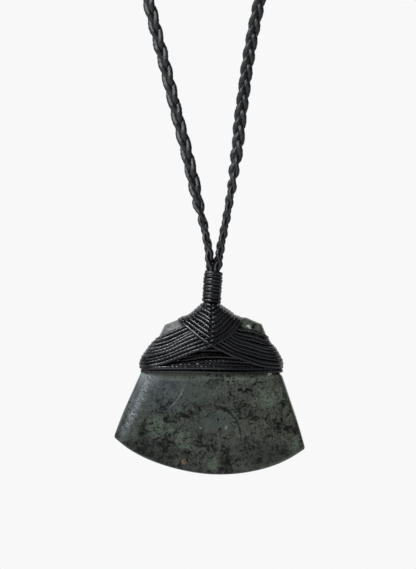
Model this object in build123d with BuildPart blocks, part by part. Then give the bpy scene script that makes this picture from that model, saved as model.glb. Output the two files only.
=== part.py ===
from build123d import *
from math import atan2, cos, degrees, hypot, radians, sin
import os

# A toki adze pendant on a plaited cord, in millimetres. +X is the wearer's left as seen from the
# front, +Y points into the wearer, +Z is up. The origin is the nape, where the cord rests.

# Greenstone blade, seen from the front
blade_length = 39.3  # top of the poll to the lowest point of the cutting edge
edge_width = 47.4  # corner to corner across the cutting edge
side_length = 31.1  # how far the two corners lie below the top of the poll
side_bow = 0.6  # how far each side bulges past a straight line
poll_width = 23.8
poll_top_width = 15.8  # flat top between the two clipped corners
poll_corner_drop = 1.9
blade_lean = 2.7  # degrees, the foot swung to the left

# Blade, seen from the side: a lens that thins from the poll to the cutting edge
blade_thickness = 6.4
heel_thickness = 4.9  # where the ground bevel starts
edge_thickness = 1.2
bevel_length = 9.0
face_crown = 0.25
bevel_crown = 0.35
shoulder_width = 2.4  # the sloping border along the sides and over the poll
shoulder_depth = 1.9

# Notches that keep the lashing from slipping off the narrowing poll
notch_drop = 12.4
notch_depth = 0.6
notch_radius = 4.0

# Lashing of waxed thread
gap = 0.1  # left between neighbouring pieces
seam_width = 0.15  # of the groove scored between two turns
seam_depth = 0.3
band_turns = 5
band_thickness = 1.15
band_top = 9.45  # below the top of the poll, at the middle
band_bottom = 14.2
band_pinch = 1.65  # how much lower the band's top line runs at the sides
wrap_turns = 6
wrap_thickness = 1.45
wrap_shoulder_drop = 5.8  # where the crossing threads leave the poll's sides
wrap_shoulder_reach = 13.7
chevron_turns = 7
chevron_thickness = 2.0
chevron_half_width = 7.5
chevron_shoulder_drop = 0.8
chevron_flank_half_width = 6.2
chevron_flank_drop = 3.2
chevron_tip_drop = 6.4
mound_height = 3.5  # the cone of thread between the poll and the neck
poll_offset = 0.9  # the blade hangs this far to the right of its neck

# Neck: thread whipped round the six ends of the plait's strands
neck_turns = 7
neck_height = 8.2
neck_diameter = 4.5
neck_lean = 3.9  # degrees, the foot swung to the left
ridge_depth = 0.25  # of the groove between two turns

# Plait: three strands, the middle line of the loop and how they cross
strand = 0.93
strand_sides = 5
plait_pitch = 12.4  # length in which one strand crosses to the other edge and back
plait_reach = 1.1  # how far a strand swings to each edge
plait_lift = 0.7  # how far a strand rises over another
row_spacing = 1.06  # between strands where they run side by side through the neck
plait_start = 4.0  # length of cord above the neck before the first crossing
twist_length = 70.0  # the plait turns from edge on at the neck to face on in this length
crossing_angles = (30, 70, 110, 150, 210, 250, 290, 330)  # where a strand bends, in one pitch
neck_axis_depth = 62.0  # the wearer's neck runs down this far in front of the nape

# Sleeve over the cord's join at the nape
join_length = 16.0
join_diameter = 5.2
join_bore = 3.5

# Middle line of the cord, from the neck's left side up the left leg, round the nape and down again
mouth = Vector(2.25, -130.0, -249.0)
nape = Vector(0.0, join_diameter / 2, 0.0)
left_leg = [
    (0.95, -130.0, -245.0),
    (-0.3, -130.0, -237.5),
    (-3.9, -130.0, -221.5),
    (-8.9, -130.0, -201.5),
    (-13.9, -130.0, -181.5),
]
right_leg = [
    (3.6, -130.0, -245.0),
    (5.2, -130.0, -237.5),
    (7.9, -130.0, -221.5),
    (10.3, -130.0, -201.5),
    (13.9, -130.0, -181.5),
]
collar = [
    (25.5, -129.5, -136.0),
    (40.0, -121.0, -89.0),
    (54.0, -95.0, -51.0),
    (60.5, -58.0, -25.0),
    (46.5, -20.0, -8.0),
]

os.makedirs("parts", exist_ok=True)


def leaning_plane(origin, lean):
    """A sketch plane facing the viewer, its foot swung to the left by lean degrees."""
    return Plane(origin=origin, x_dir=(cos(radians(lean)), 0, -sin(radians(lean))), z_dir=(0, -1, 0))


neck_plane = leaning_plane(mouth, neck_lean)
neck_foot = neck_plane.from_local_coords(Vector(0, -neck_height, 0))
lashing_plane = leaning_plane(neck_foot - Vector(0, 0, mound_height), 0)
blade_plane = leaning_plane(lashing_plane.origin + Vector(poll_offset, 0, 0), blade_lean)

# The cutting edge is an arc through both corners and the lowest point
edge_rise = blade_length - side_length
edge_radius = (edge_width**2 / 4 + edge_rise**2) / (2 * edge_rise)
edge_centre = blade_plane.from_local_coords(Vector(0, edge_radius - blade_length, 0))
lens_plane = Plane(
    origin=edge_centre,
    x_dir=blade_plane.x_dir,
    z_dir=blade_plane.x_dir.cross(blade_plane.z_dir),
)
mound_top = mound_height - neck_diameter / 2 * sin(radians(neck_lean))
deep = 2 * blade_thickness + 4 * wrap_thickness  # safely through the blade and its lashing


def side_at(drop):
    """Half the blade's width at a distance below the top of the poll."""
    share = (drop - poll_corner_drop) / (side_length - poll_corner_drop)
    bow = 4 * side_bow * share * (1 - share)
    return poll_width / 2 + share * (edge_width - poll_width) / 2 + bow


def blade_form(grow, notched=True):
    """The blade's form, with or without its notches, grown on every side by grow."""
    land = blade_thickness - 2 * shoulder_depth
    slope = hypot(shoulder_width, shoulder_depth)
    land += 2 * grow * (slope - shoulder_depth) / shoulder_width
    corner = Vector(edge_width / 2, -side_length)
    poll_corner = Vector(poll_width / 2, -poll_corner_drop)
    foot = corner + (corner - poll_corner).normalized() * 2 * edge_rise
    with BuildPart() as form:
        with BuildSketch(blade_plane) as fan:
            with BuildLine():
                Polyline((0, 0), (poll_top_width / 2, 0), poll_corner)
                SagittaArc(poll_corner, corner, side_bow)
                Polyline(corner, foot, (0, foot.Y))
                mirror(about=Plane.YZ)
            make_face()
            if grow:
                offset(amount=grow, kind=Kind.INTERSECTION)
        extrude(amount=land / 2, both=True)
        for face in (1, -1):
            with BuildSketch(blade_plane.offset(face * land / 2)):
                add(fan.sketch_local)
            taper = degrees(atan2(shoulder_width, shoulder_depth))
            extrude(amount=face * (shoulder_depth + grow), taper=taper)
        with BuildSketch(lens_plane):
            with BuildLine():
                crown = (0, blade_thickness / 2 + grow)
                heel = (edge_radius - bevel_length, heel_thickness / 2 + grow)
                edge = (edge_radius + grow, edge_thickness / 2 + grow)
                SagittaArc(crown, heel, -face_crown)
                SagittaArc(heel, edge, -bevel_crown)
                Line(edge, (edge_radius + grow, 0))
                mirror(about=Plane.XZ)
                Line(crown, (0, -crown[1]))
            make_face()
        revolve(axis=Axis(edge_centre, blade_plane.z_dir), mode=Mode.INTERSECT)
        if notched:
            with BuildSketch(blade_plane):
                reach = side_at(notch_drop) + notch_radius - notch_depth
                with Locations((-reach, -notch_drop), (reach, -notch_drop)):
                    Circle(notch_radius - grow)
            extrude(amount=deep, both=True, mode=Mode.SUBTRACT)
    return form.part


def mound_form(half_depth):
    """The depth of the middle lashing: a roof from the neck down over the poll."""
    with BuildPart() as form:
        with BuildSketch(Plane(lashing_plane.origin, x_dir=(0, 1, 0), z_dir=(1, 0, 0))):
            with BuildLine():
                Polyline(
                    (0, mound_top),
                    (neck_diameter / 2, mound_top),
                    (half_depth, -chevron_shoulder_drop),
                    (half_depth, -chevron_tip_drop),
                    (0, -chevron_tip_drop),
                )
                mirror(about=Plane.YZ)
            make_face()
        extrude(amount=2 * chevron_half_width, both=True)
    return form.part


def wound(outer, core, outline, seams):
    """Thread wound over the blade inside an outline, scored down to the core along its seams."""
    with BuildPart() as winding:
        add(outer)
        with BuildSketch(lashing_plane):
            for seam in seams:
                with BuildLine():
                    Polyline(*seam)
                trace(line_width=seam_width)
        extrude(amount=deep, both=True, mode=Mode.SUBTRACT)
        add(core)
        with BuildSketch(lashing_plane):
            with BuildLine():
                Polyline(*outline, close=True)
            make_face()
            offset(amount=-gap / 2, kind=Kind.INTERSECTION)
        extrude(amount=deep, both=True, mode=Mode.INTERSECT)
        add(blade_room, mode=Mode.SUBTRACT)
    return winding.part


# Blade
with BuildPart() as toki_blade:
    add(blade_form(0))
toki_blade.part.label = "toki_blade"
export_step(toki_blade.part, "parts/toki_blade.step")

# Lower lashing: level turns, which close up where they pass through the notches
blade_room = blade_form(gap)
past_side = edge_width / 2
pinch = band_pinch * past_side / side_at(band_bottom)
with BuildPart() as lower_band:
    seams = []
    for turn in range(band_turns + 1):
        share = turn / band_turns
        middle = -band_top - share * (band_bottom - band_top)
        side = middle - (1 - share) * pinch
        seams.append([(-past_side, side), (0, middle), (past_side, side)])
    outer, core = (blade_form(gap + band_thickness - depth, False) for depth in (0, seam_depth))
    reach = side_at(notch_drop) + gap + band_thickness
    outline = [(x * reach / past_side, y) for x, y in seams[0] + seams[-1][::-1]]
    add(wound(outer, core, outline, seams[1:-1]))
lower_band.part.label = "lower_band"
export_step(lower_band.part, "parts/lower_band.step")

# Side lashings: turns that fan out from the middle and meet at the notches
flank_slope = (wrap_shoulder_drop - chevron_flank_drop) / (wrap_shoulder_reach - chevron_flank_half_width)
outer_drop = chevron_flank_drop + flank_slope * (past_side - chevron_flank_half_width)
outer, core = (blade_form(gap + wrap_thickness - depth, False) for depth in (0, seam_depth))
for hand, name in ((-1, "left_wraps"), (1, "right_wraps")):
    flank = Vector(hand * chevron_flank_half_width, -chevron_flank_drop)
    tip = Vector(0, -chevron_tip_drop)
    shoulder = Vector(hand * past_side, -outer_drop)
    notch = Vector(hand * past_side, -band_top - pinch)
    with BuildPart() as wraps:
        seams = []
        for turn in range(1, wrap_turns):
            share = turn / wrap_turns
            seams.append([flank + (tip - flank) * share, shoulder + (notch - shoulder) * share])
        outline = [(0, -band_top), tip, flank, shoulder, notch]
        add(wound(outer, core, outline, seams))
    wraps.part.label = name
    export_step(wraps.part, f"parts/{name}.step")

# Middle lashing: turns that cross over the poll in a row of nested V's
with BuildPart() as chevron_wraps:
    flank_rise = (chevron_tip_drop - chevron_flank_drop) / chevron_flank_half_width
    rise = flank_rise * chevron_half_width
    seams = []
    for turn in range(1, chevron_turns):
        low = -chevron_tip_drop + turn / chevron_turns * (mound_top + chevron_tip_drop)
        seams.append([(-chevron_half_width, low + rise), (0, low), (chevron_half_width, low + rise)])
    half_depth = blade_thickness / 2 + gap + chevron_thickness
    outer, core = mound_form(half_depth), mound_form(half_depth - seam_depth)
    outline = [
        (neck_diameter / 2, mound_top - gap / 2),
        (chevron_half_width, -chevron_shoulder_drop),
        (chevron_flank_half_width, -chevron_flank_drop),
        (0, -chevron_tip_drop),
        (-chevron_flank_half_width, -chevron_flank_drop),
        (-chevron_half_width, -chevron_shoulder_drop),
        (-neck_diameter / 2, mound_top - gap / 2),
    ]
    add(wound(outer, core, outline, seams))
chevron_wraps.part.label = "chevron_wraps"
export_step(chevron_wraps.part, "parts/chevron_wraps.step")

# Neck whipping, a ridge for each turn, bored for the two rows of strands
neck_pitch = neck_height / neck_turns
neck_bore = hypot(row_spacing / 2, row_spacing) + strand / 2 + gap
with BuildPart() as neck_whipping:
    with BuildSketch(neck_plane):
        ridge_middle = neck_diameter / 2 - neck_pitch / 2
        with Locations(*[(ridge_middle, -(turn + 0.5) * neck_pitch) for turn in range(neck_turns)]):
            Circle(neck_pitch / 2)
        with Locations((0, -neck_height / 2)):
            Rectangle(neck_diameter - 2 * ridge_depth, neck_height)
            Rectangle(2 * neck_bore, neck_height, mode=Mode.SUBTRACT)
        split(bisect_by=Plane.YZ)
    revolve(axis=Axis(mouth, neck_plane.y_dir))
neck_whipping.part.label = "neck_whipping"
export_step(neck_whipping.part, "parts/neck_whipping.step")

# Middle line of the cord, from the neck up the left leg, round the nape and down the right leg
left_mouth = neck_plane.from_local_coords(Vector(-row_spacing / 2, 0, 0))
right_mouth = neck_plane.from_local_coords(Vector(row_spacing / 2, 0, 0))
left_collar = [(-x, y, z) for x, y, z in collar]
with BuildLine() as cord:
    cord_line = Spline(
        left_mouth,
        *left_leg,
        *left_collar,
        nape,
        *reversed(collar),
        *reversed(right_leg),
        right_mouth,
    )
cord_length = cord_line.length
to_nape = cord_line.trim(0, nape).length
weave_length = cord_length - 2 * plait_start
pitches = round(weave_length / plait_pitch)
neck_axis = Vector(0, -neck_axis_depth, 0)
print("cord length", round(cord_length, 1), "pitches", pitches)


def ease(share):
    """A smooth step from 0 to 1."""
    share = min(max(share, 0), 1)
    return share * share * (3 - 2 * share)


def strand_spot(along, angle, row):
    """A strand's middle at a length along the cord and a crossing angle. Its row holds at the neck."""
    from_end = min(along, cord_length - along)
    woven = min(from_end / plait_start, 1)
    reach = (1 - woven) * row * row_spacing + woven * plait_reach * sin(radians(angle))
    lift = woven * plait_lift * sin(radians(2 * angle)) / sin(radians(60))
    spot = cord_line.position_at(along, PositionMode.LENGTH)
    tangent = cord_line.tangent_at(along, PositionMode.LENGTH)
    outward = spot - neck_axis
    outward = Vector(outward.X, outward.Y, 0)
    outward = (outward - tangent * outward.dot(tangent)).normalized()
    turn = 90 * (1 - ease((from_end - plait_start) / twist_length))
    outward = outward.rotate(Axis((0, 0, 0), tangent), turn)
    return spot + tangent.cross(outward) * reach + outward * lift


def strand_path(number):
    """All the bends of one strand, from the foot of the neck round the loop and back."""
    first_angle = 120 * number
    row = (0, 1, -1)[number]
    into_neck = neck_plane.y_dir * (neck_height - gap)
    start, end = strand_spot(0, first_angle, row), strand_spot(cord_length, first_angle, row)
    bends = [strand_spot(plait_start, first_angle, row)]
    for pitch in range(pitches + 1):
        for crossing in crossing_angles:
            angle = 360 * pitch + crossing - first_angle
            if 0 < angle < 360 * pitches:
                along = plait_start + weave_length * angle / (360 * pitches)
                bends.append(strand_spot(along, crossing, row))
    bends.append(strand_spot(cord_length - plait_start, first_angle, row))
    return [start - into_neck, start, *bends, end, end - into_neck]


# Plait, each strand one whole loop that ends inside the neck's whipping
for number in range(3):
    bends = strand_path(number)
    with BuildPart() as plait_strand:
        with BuildLine() as path:
            Polyline(*bends)
        with BuildSketch(Plane(origin=bends[0], z_dir=bends[1] - bends[0])):
            RegularPolygon(strand / 2, strand_sides)
        sweep(path=path.wire(), transition=Transition.RIGHT)
    plait_strand.part.label = f"plait_strand_{number + 1}"
    export_step(plait_strand.part, f"parts/plait_strand_{number + 1}.step")

# Sleeve of whipping over the cord's join
with BuildPart() as back_join:
    with BuildLine() as bend:
        ThreePointArc(
            cord_line.position_at(to_nape - join_length / 2, PositionMode.LENGTH),
            nape,
            cord_line.position_at(to_nape + join_length / 2, PositionMode.LENGTH),
        )
    with BuildSketch(Plane(origin=bend.line @ 0, z_dir=bend.line % 0)):
        Circle(join_diameter / 2)
        Circle(join_bore / 2, mode=Mode.SUBTRACT)
    sweep(path=bend.wire())
back_join.part.label = "back_join"
export_step(back_join.part, "parts/back_join.step")
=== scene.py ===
import math

import bpy
import numpy as np
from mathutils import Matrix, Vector


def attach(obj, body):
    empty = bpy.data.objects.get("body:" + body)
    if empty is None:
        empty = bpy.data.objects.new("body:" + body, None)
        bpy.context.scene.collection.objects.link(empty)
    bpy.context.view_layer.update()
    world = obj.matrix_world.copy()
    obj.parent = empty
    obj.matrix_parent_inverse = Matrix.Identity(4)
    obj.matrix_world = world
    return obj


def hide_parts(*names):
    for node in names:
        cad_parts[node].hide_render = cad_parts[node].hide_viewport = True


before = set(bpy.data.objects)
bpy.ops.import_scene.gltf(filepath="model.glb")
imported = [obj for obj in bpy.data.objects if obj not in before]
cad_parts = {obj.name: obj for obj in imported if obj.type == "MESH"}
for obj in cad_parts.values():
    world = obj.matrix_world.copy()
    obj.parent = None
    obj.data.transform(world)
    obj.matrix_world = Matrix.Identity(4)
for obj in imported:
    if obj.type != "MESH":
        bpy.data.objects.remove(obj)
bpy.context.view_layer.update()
chance = np.random.default_rng(11)

# Lengths are in millimetres until a mesh is made. +X is right, +Y away from the viewer, +Z up.
MM = 0.001

# Neck, lashing and blade frames, as in the CAD
MOUTH = np.array([2.25, -130, -249])
NECK_HEIGHT = 8.2
NECK_LEAN = math.radians(3.9)
NECK_RIGHT = np.array([math.cos(NECK_LEAN), 0, -math.sin(NECK_LEAN)])
NECK_UP = np.array([math.sin(NECK_LEAN), 0, math.cos(NECK_LEAN)])
NECK_FOOT = MOUTH - NECK_UP * NECK_HEIGHT
MOUND_HEIGHT = 3.5
LASHING = NECK_FOOT - np.array([0, 0, MOUND_HEIGHT])
POLL_OFFSET = 0.9
BLADE = LASHING + np.array([POLL_OFFSET, 0, 0])
BLADE_LEAN = math.radians(2.7)

# Blade, with its frame's origin at the top of the poll
BLADE_LENGTH, EDGE_WIDTH, SIDE_LENGTH, SIDE_BOW = 39.3, 47.4, 31.1, 0.6
POLL_WIDTH, POLL_TOP_WIDTH, POLL_CORNER_DROP = 23.8, 15.8, 1.9
NOTCH_DROP, NOTCH_DEPTH, NOTCH_RADIUS = 12.2, 0.6, 2.6
CROWN, HEEL, EDGE = 3.2, 2.45, 0.6  # half thicknesses at the poll, the bevel's heel and the cutting edge
BEVEL_LENGTH = 9
FACE_FULLNESS, BEVEL_FULLNESS = 1, 1.4  # four times how far the face and the bevel bulge
CLIP_WIDTH = (POLL_WIDTH - POLL_TOP_WIDTH) / 2
EDGE_RISE = BLADE_LENGTH - SIDE_LENGTH
EDGE_RADIUS = (EDGE_WIDTH**2 / 4 + EDGE_RISE**2) / (2 * EDGE_RISE)
EDGE_CENTRE = EDGE_RADIUS - BLADE_LENGTH
SIDE_OUT = (0.927, 0.375)  # square to the right side: across, up
CLIP_OUT = (0.429, 0.903)  # square to the poll's clipped right corner


def from_lashing(spots):
    """World points of (right, up, depth towards the viewer) in the lashing's frame."""
    spots = np.asarray(spots, float)
    return LASHING + np.stack([spots[:, 0], -spots[:, 2], spots[:, 1]], 1)


def ease(share):
    """A smooth step from 0 to 1."""
    share = np.clip(share, 0, 1)
    return share * share * (3 - 2 * share)


def quarter_round(share, power=2.0):
    """A rise from 0 to 1 along a quarter of an ellipse, or by another power."""
    return (1 - (1 - np.clip(share, 0, 1)) ** power) ** (1 / power)


def at_ends(share, reach):
    """1 at both ends of a line, easing to 0 within a share of it."""
    return 2 - ease(share / reach) - ease((1 - share) / reach)


def soft_min(one, other, blend):
    near = np.maximum(blend - np.abs(one - other), 0)
    return np.minimum(one, other) - near * near / (4 * blend)


def unit(vectors):
    return vectors / np.linalg.norm(vectors, axis=-1, keepdims=True)


def lengths_along(line):
    return np.concatenate([[0], np.cumsum(np.linalg.norm(np.diff(line, axis=0), axis=1))])


def read_along(at, along, values):
    """Vectors at any lengths along a line."""
    return np.stack([np.interp(at, along, values[:, k]) for k in range(3)], 1)


def smooth_line(spots, count, bunch=False):
    """Points on a natural spline through the spots. bunch crowds them at both ends."""
    spots = np.asarray(spots, float)
    gaps = np.linalg.norm(np.diff(spots, axis=0), axis=1)
    knots = lengths_along(spots)
    n = len(spots)
    system, right = np.eye(n), np.zeros_like(spots)
    for i in range(1, n - 1):
        system[i, i - 1 : i + 2] = gaps[i - 1], 2 * (gaps[i - 1] + gaps[i]), gaps[i]
        right[i] = 6 * ((spots[i + 1] - spots[i]) / gaps[i] - (spots[i] - spots[i - 1]) / gaps[i - 1])
    bend = np.linalg.solve(system, right)
    share = np.linspace(0, 1, count)
    at = knots[-1] * ((1 - np.cos(np.pi * share)) / 2 if bunch else share)
    i = np.clip(np.searchsorted(knots, at, "right") - 1, 0, n - 2)
    h, before, after = gaps[i, None], (at - knots[i])[:, None], (knots[i + 1] - at)[:, None]
    line = (bend[i] * after**3 + bend[i + 1] * before**3) / (6 * h)
    line += (spots[i] / h - bend[i] * h / 6) * after
    return line + (spots[i + 1] / h - bend[i + 1] * h / 6) * before


def even(line, step, closed=False):
    """The same line with its points a step apart."""
    if closed:
        line = np.vstack([line, line[:1]])
    along = lengths_along(line)
    count = max(4, round(along[-1] / step))
    at = np.linspace(0, along[-1], count + 1)
    if closed:
        at = at[:-1]
    return read_along(at, along, line)


def relax(line, passes, closed=False):
    """The same line with its points drawn towards their neighbours."""
    for _ in range(passes):
        if closed:
            line = line / 2 + (np.roll(line, 1, 0) + np.roll(line, -1, 0)) / 4
        else:
            line = np.vstack([line[:1], line[1:-1] / 2 + (line[:-2] + line[2:]) / 4, line[-1:]])
    return line


# Thread, whose section is three plies with grooves between them
SECTION_ANGLES = np.radians(np.arange(12) * 30 + 15)
SECTION_RADII = np.tile([1, 0.91, 0.91, 1], 3)
SOFT_RADII = np.tile([1, 0.94, 0.94, 1], 3)
LAY = 3.1  # length in which a ply goes once round the thread
UNEVENNESS, UNEVEN_RATE = 0.03, 1.9
WAX_RATES = (0.83, 0.37)  # of the waves by which wax fills the grooves in places
WAX_WAVE, GROOVE_DEPTHS = (-1.2, 1.2), (0.35, 1.2)
END_BULGE = 0.1


class Threads:
    """Twisted threads that make up one piece."""

    def __init__(self):
        self.spots, self.faces, self.count = [], [], 0

    def add_mesh(self, spots, faces):
        self.spots.append(np.asarray(spots, float))
        self.faces += [[i + self.count for i in face] for face in faces]
        self.count += len(spots)

    def add(self, line, radius, closed=False, lay=LAY, wide=None, widen=1.0, radii=SECTION_RADII):
        """A three-ply thread along a line of even points, in the world frame, widened across if asked."""
        n = len(line)
        if closed:
            ahead = np.roll(line, -1, 0) - np.roll(line, 1, 0)
        else:
            ahead = np.gradient(line, axis=0)
        ahead = unit(ahead)
        start = np.cross(ahead[0], [0.3, 0.5, 0.8])
        side = np.empty_like(line)
        side[0] = start / np.linalg.norm(start)
        for i in range(1, n):
            moved = side[i - 1] - ahead[i] * side[i - 1].dot(ahead[i])
            side[i] = moved / math.sqrt(moved.dot(moved))
        other = np.cross(ahead, side)
        step = np.linalg.norm(line[1] - line[0])
        at = np.arange(n) * step
        turn = 2 * math.pi * n * step / lay
        if closed:
            # The plies meet where the loop closes
            last = side[-1] - ahead[0] * side[-1].dot(ahead[0])
            slip = math.atan2(last.dot(other[0]), last.dot(side[0]))
            third = 2 * math.pi / 3
            turn = round(turn / third) * third - slip
        angle = np.arange(n)[:, None] / n * turn + chance.uniform(0, 6) + SECTION_ANGLES
        uneven = 1 + UNEVENNESS * np.sin(at * UNEVEN_RATE + chance.uniform(0, 6))
        wave = sum(np.sin(at * rate + chance.uniform(0, 6)) for rate in WAX_RATES)
        groove = np.interp(wave, WAX_WAVE, GROOVE_DEPTHS)[:, None]
        grow = radius * uneven[:, None] * (1 - (1 - radii) * groove)
        rings = line[:, None] + (np.cos(angle) * grow)[..., None] * side[:, None]
        rings += (np.sin(angle) * grow)[..., None] * other[:, None]
        if wide is not None:
            across = ((rings - line[:, None]) * wide[:, None]).sum(-1, keepdims=True)
            rings += (widen - 1) * across * wide[:, None]
        k = len(SECTION_ANGLES)
        ring = np.arange(n if closed else n - 1)[:, None] * k
        a, b = ring + np.arange(k), ring + (np.arange(k) + 1) % k
        faces = np.stack([a, b, (b + k) % (n * k), (a + k) % (n * k)], -1).reshape(-1, 4).tolist()
        spots = rings.reshape(-1, 3)
        if not closed:
            spots = np.vstack([spots, line[0] - ahead[0] * END_BULGE, line[-1] + ahead[-1] * END_BULGE])
            last = (n - 1) * k
            for j in range(k):
                faces.append([(j + 1) % k, j, n * k])
                faces.append([last + j, last + (j + 1) % k, n * k + 1])
        self.add_mesh(spots, faces)

    def piece(self, name, material, slot, *nodes):
        return make_piece(name, np.vstack(self.spots), self.faces, material, slot, *nodes)


def add_object(name, data):
    made = bpy.data.objects.new(name, data)
    bpy.context.scene.collection.objects.link(made)
    return made


def make_piece(name, spots, faces, material, slot, *nodes):
    mesh = bpy.data.meshes.new(name)
    mesh.from_pydata((np.asarray(spots) * MM).tolist(), [], faces)
    mesh.polygons.foreach_set("use_smooth", [True] * len(mesh.polygons))
    mesh.materials.append(material)
    mesh.update()
    piece = add_object(name, mesh)
    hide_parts(*nodes)
    return piece


# Materials, whose places are ellipses seen from the front: middle and radii, both (across, up)
DEEP = 1000  # a radius that takes in the whole thickness
BUMP_HEIGHT = 0.00006  # metres


class Shader:
    """Short names for building a node material."""

    def __init__(self, name):
        self.material = bpy.data.materials.new(name)
        self.material.use_nodes = True
        self.tree = self.material.node_tree
        self.surface = self.tree.nodes["Principled BSDF"]
        self.color = None

    def put(self, socket, value):
        if isinstance(value, bpy.types.NodeSocket):
            self.tree.links.new(value, socket)
        elif isinstance(value, tuple) and len(value) == 3 and socket.type == "RGBA":
            socket.default_value = (*value, 1)
        else:
            socket.default_value = value

    def set(self, name, value):
        self.put(self.surface.inputs[name], value)

    def node(self, kind, inputs=None, output=0, **settings):
        made = self.tree.nodes.new(kind)
        for key, value in settings.items():
            setattr(made, key, value)
        for key, value in (inputs or {}).items():
            self.put(made.inputs[key], value)
        return made.outputs[output]

    def position(self):
        """The point on the object, in millimetres."""
        spot = self.node("ShaderNodeTexCoord", output="Object")
        return self.node("ShaderNodeVectorMath", {0: spot, "Scale": 1 / MM}, operation="SCALE")

    def noise(self, spot, scale, detail, roughness, distortion=0.0):
        inputs = {"Vector": spot, "Scale": scale, "Detail": detail, "Roughness": roughness}
        return self.node("ShaderNodeTexNoise", {**inputs, "Distortion": distortion})

    def vector(self, operation, *values, output="Vector"):
        return self.node("ShaderNodeVectorMath", dict(enumerate(values)), output, operation=operation)

    def math(self, operation, *values):
        return self.node("ShaderNodeMath", dict(enumerate(values)), operation=operation)

    def plus(self, one, other):
        return self.math("ADD", one, other)

    def minus(self, one, other):
        return self.math("SUBTRACT", one, other)

    def most(self, one, other):
        return self.math("MAXIMUM", one, other)

    def times(self, value, *others):
        for other in others:
            value = self.math("MULTIPLY", value, other)
        return value

    def apart(self, one, other):
        return self.math("ABSOLUTE", self.minus(one, other))

    def span(self, value, low, high, to_low=0.0, to_high=1.0):
        """A smooth step from to_low at low to to_high at high."""
        inputs = {0: value, 1: low, 2: high, 3: to_low, 4: to_high}
        return self.node("ShaderNodeMapRange", inputs, interpolation_type="SMOOTHSTEP")

    def mix(self, share, one, other):
        return self.node("ShaderNodeMix", {0: share, 6: one, 7: other}, output=2, data_type="RGBA")

    def paint(self, tint, *shares):
        """Lay a colour over what is there, by the product of the shares."""
        self.color = self.mix(self.times(*shares), self.color, tint)

    def away(self, spot, place):
        """How far a point is from an ellipse's middle, in units of its radii."""
        across, up, wide, high = place
        moved = self.vector("SUBTRACT", spot, (across, 0, up))
        return self.vector("LENGTH", self.vector("DIVIDE", moved, (wide, DEEP, high)), output="Value")

    def patch(self, spot, place, soft=0.5):
        """1 inside an ellipse, fading to 0 outside it."""
        return self.span(self.away(spot, place), 1 + soft, 1 - soft)

    def patches(self, spot, places, soft=0.5):
        """The same for several ellipses at once."""
        inside = 0
        for place in places:
            inside = self.most(inside, self.patch(spot, place, soft))
        return inside

    def bump(self, height, strength):
        inputs = {"Strength": strength, "Distance": BUMP_HEIGHT, "Height": height}
        self.set("Normal", self.node("ShaderNodeBump", inputs))


# Places on the lashing with less or more wax, and the share of gloss each takes or adds
DULL_PLACES = [
    (0, -10.6, 15.5, 2.6, 0.35), (-16.8, -11.8, 2.2, 2, 0.65), (7, -11.7, 4.5, 1.4, 0.5),
    (-1.2, -6.3, 2.6, 2.4, 0.5), (-13, -9.8, 3, 1.6, 0.4), (9.5, -13.2, 6.5, 1.2, 0.7),
    (-1.7, 7.6, 1.1, 5.5, 0.5), (0.5, -0.5, 0.8, 4.2, 0.6),
]
SHINY_PLACES = [(3.6, -1, 3.4, 3.6, 0.7), (4.6, 1.4, 1.6, 1.2, 0.5), (-6.5, -12.8, 6.5, 1.3, 0.3)]
THREAD_GLOSS = 0.45


def thread_material(name, dark, light, roughness, fibres):
    """Black waxed thread. fibres says how much its fibres show."""
    s = Shader(name)
    spot = s.position()
    grain = s.noise(spot, 2.2, 6, 0.6)
    s.set("Base Color", s.mix(s.span(grain, 0.35, 0.75), dark, light))
    s.set("Roughness", s.span(grain, 0.3, 0.7, *roughness))
    gloss = 1
    for places, operation in ((DULL_PLACES, "SUBTRACT"), (SHINY_PLACES, "ADD")):
        change = 0
        for u, v, wide, high, share in places:
            x, _, z = LASHING + (u, 0, v)
            change = s.most(change, s.times(s.patch(spot, (x, z, wide, high), 0.4), share))
        gloss = s.math(operation, gloss, change)
    s.set("Specular IOR Level", s.times(gloss, THREAD_GLOSS))
    s.bump(s.noise(spot, 9, 3, 0.6), fibres)
    return s.material


# Colours of the stone
BODY_DARK, BODY_LIGHT, BODY_WARM = (0.034, 0.037, 0.034), (0.059, 0.067, 0.058), (0.059, 0.063, 0.048)
GRAIN_DARK, GRAIN_LIGHT, BROWN = (0.012, 0.013, 0.011), (0.099, 0.114, 0.092), (0.030, 0.027, 0.021)
BLUE_GREY, DEEP_BLUE, BLUE_GREEN = (0.045, 0.053, 0.057), (0.024, 0.030, 0.036), (0.036, 0.047, 0.042)
PAINTED_LIGHT_BAND, PALE_GREEN, SHADE = (0.110, 0.128, 0.108), (0.080, 0.108, 0.078), (0.017, 0.018, 0.016)
BLACK = (0.0012, 0.0010, 0.0008)
PALE_VEIN, DARK_VEIN = (0.135, 0.170, 0.125), (0.0050, 0.0065, 0.0075)
WORN_PITS, WORN_AND_SHEEN = (0.030, 0.036, 0.040), (0.205, 0.220, 0.232)
POLL_FROST_AND_LIGHT, PAINTED_EDGE_LIGHT = (0.135, 0.142, 0.135), (0.100, 0.120, 0.100)
RUST_HALO, RUST_RING, RUST_PIT = (0.115, 0.095, 0.060), (0.190, 0.095, 0.035), (0.035, 0.020, 0.010)
WHITE = (0.420, 0.430, 0.400)
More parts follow.
